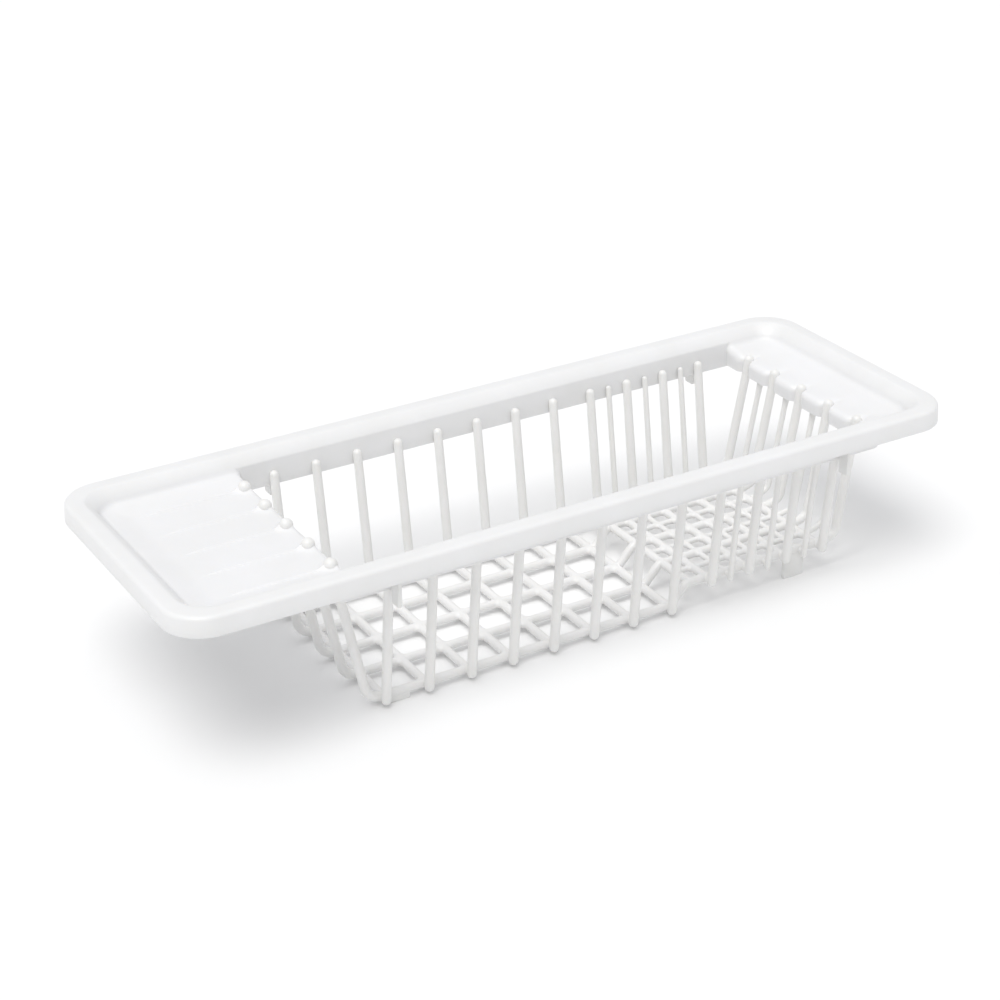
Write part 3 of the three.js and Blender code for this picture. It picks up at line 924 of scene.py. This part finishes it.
def add_camera():
    azimuth = math.radians(CAMERA_AZIMUTH)
    elevation = math.radians(CAMERA_ELEVATION)
    roll = math.radians(CAMERA_ROLL)
    target = Vector(CAMERA_TARGET) * MM
    back = Vector(
        (
            math.sin(azimuth) * math.cos(elevation),
            -math.cos(azimuth) * math.cos(elevation),
            math.sin(elevation),
        )
    )
    level_right = (-back).cross(Vector((0, 0, 1))).normalized()
    level_up = back.cross(level_right)
    right = level_right * math.cos(roll) + level_up * math.sin(roll)
    up = level_up * math.cos(roll) - level_right * math.sin(roll)
    data = bpy.data.cameras.new("camera")
    data.lens = CAMERA_LENS
    data.sensor_width = CAMERA_SENSOR
    data.clip_start = 0.05
    camera = bpy.data.objects.new("camera", data)
    axes = Matrix((right, up, back)).transposed().to_4x4()
    camera.matrix_world = Matrix.Translation(target + back * CAMERA_DISTANCE) @ axes
    bpy.context.scene.collection.objects.link(camera)
    bpy.context.scene.camera = camera


def add_light(name, place, spread, strength, colour):
    """A very wide, far light that shines from a place towards the rack. The spread is in degrees."""
    data = bpy.data.lights.new(name, "SUN")
    data.angle = math.radians(spread)
    data.energy = strength
    data.color = colour
    light = bpy.data.objects.new(name, data)
    light.location = place
    light.rotation_euler = (-Vector(place)).to_track_quat("-Z", "Y").to_euler()
    bpy.context.scene.collection.objects.link(light)


def add_studio():
    """Floor, camera, an even pale surrounding, a soft overhead light and a stronger one from the left."""
    add_floor()
    add_camera()
    world = bpy.data.worlds.new("studio")
    world.use_nodes = True
    background = world.node_tree.nodes["Background"]
    background.inputs["Color"].default_value = (0.98, 0.985, 1.0, 1)
    background.inputs["Strength"].default_value = 0.6
    bpy.context.scene.world = world
    bpy.context.scene.view_settings.view_transform = "Standard"
    overhead = (-0.2, 0.0, 1.9)
    add_light("overhead_light", overhead, spread=60.0, strength=0.62, colour=(0.97, 0.98, 1.0))
    front_left = (-0.75, -0.6, 1.9)
    add_light("left_light", front_left, spread=36.0, strength=1.15, colour=(1.0, 0.99, 0.97))


# The rim's and the tray's slight blue tint is painted cool light from above, and the bars' warm tint is
# painted warm light from the front and below.
rim_plastic = plastic(
    "rim_plastic", (0.86, 0.86, 0.865), roughness=0.34, mottle_size=0.035, grain_depth=0.00003
)
tray_plastic = plastic(
    "tray_plastic", (0.86, 0.86, 0.87), roughness=0.34, mottle_size=0.045, grain_depth=0.00003
)
bar_plastic = plastic(
    "bar_plastic", (0.87, 0.866, 0.856), roughness=0.32, mottle_size=0.018, grain_depth=0.00002
)
floor_plastic = plastic(
    "floor_plastic", (0.85, 0.845, 0.84), roughness=0.34, mottle_size=0.02, grain_depth=0.00002
)
foot_plastic = plastic(
    "foot_plastic", (0.85, 0.85, 0.84), roughness=0.38, mottle_size=0.018, grain_depth=0.00003
)

add_rim(rim_plastic)
add_trays(tray_plastic)
add_bars(bar_plastic)
add_floor_grids(floor_plastic)
add_feet_and_fins(foot_plastic)
add_studio()
